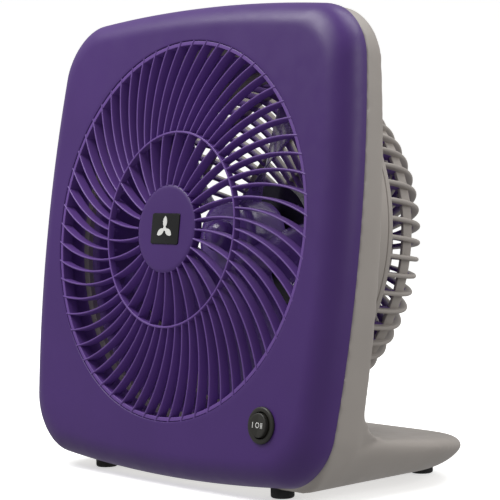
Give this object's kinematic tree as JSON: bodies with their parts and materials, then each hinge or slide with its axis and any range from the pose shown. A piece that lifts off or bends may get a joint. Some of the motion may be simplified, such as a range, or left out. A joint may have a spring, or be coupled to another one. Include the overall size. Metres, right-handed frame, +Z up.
{
  "type": "box fan",
  "caption": "Leaning square desk fan: round swirl-ribbed front grille, domed rear guard, flat rear foot, rocker switch and a spinning impeller.",
  "frame": {"origin": "middle of the footprint on the ground", "axes": "+Z up, the fan blows towards -Y, +X to the right when looking along +Y"},
  "size_m": [0.303, 0.1776, 0.311],
  "materials": {
    "purple_plastic": "satin moulded",
    "blade_plastic": "smooth",
    "grey_plastic": "satin moulded",
    "black_gloss": "smooth",
    "switch_black": "satin",
    "white_print": "printed",
    "rubber": "matte",
    "capacitor_case": "smooth",
    "motor_metal": "cast",
    "lamination": "stacked sheet",
    "steel": "plated",
    "copper": "enamelled wire",
    "brass": "plain"
  },
  "bodies": {
    "frame": {"front_housing": "purple_plastic", "air_duct": "purple_plastic", "front_grille": "purple_plastic", "badge_plate": "black_gloss", "badge_mark": "white_print", "switch_body": "switch_black", "switch_terminals": "brass", "rear_housing": "grey_plastic", "base_cover": "grey_plastic", "rear_guard": "grey_plastic", "cord_gland": "rubber", "run_capacitor": "capacitor_case", "foot_front_left": "rubber", "foot_front_right": "rubber", "foot_rear_left": "rubber", "foot_rear_right": "rubber", "motor_stator": "lamination", "motor_windings": "copper", "motor_front_bell": "motor_metal", "motor_rear_bell": "motor_metal", "front_bearing": "brass", "rear_bearing": "brass", "motor_bolts": "steel", "guard_screws": "steel", "housing_screws": "steel", "base_screws": "steel"},
    "impeller": {"fan_blades": "blade_plastic", "blade_nut": "blade_plastic", "motor_shaft": "steel", "motor_rotor": "steel"},
    "rocker": {"switch_rocker": "switch_black", "rocker_marks": "white_print"}
  },
  "joints": [
    {"name": "fan_spin", "type": "hinge", "parent": "frame", "child": "impeller", "pos_m": [0, -0.01183, 0.15767], "axis": [0, 0.9903, -0.1392], "continuous": true},
    {"name": "rocker_tilt", "type": "hinge", "parent": "frame", "child": "rocker", "pos_m": [0.1002, -0.08529, 0.04883], "axis": [0, 0.1392, 0.9903], "range_deg": [-12, 12]}
  ]
}
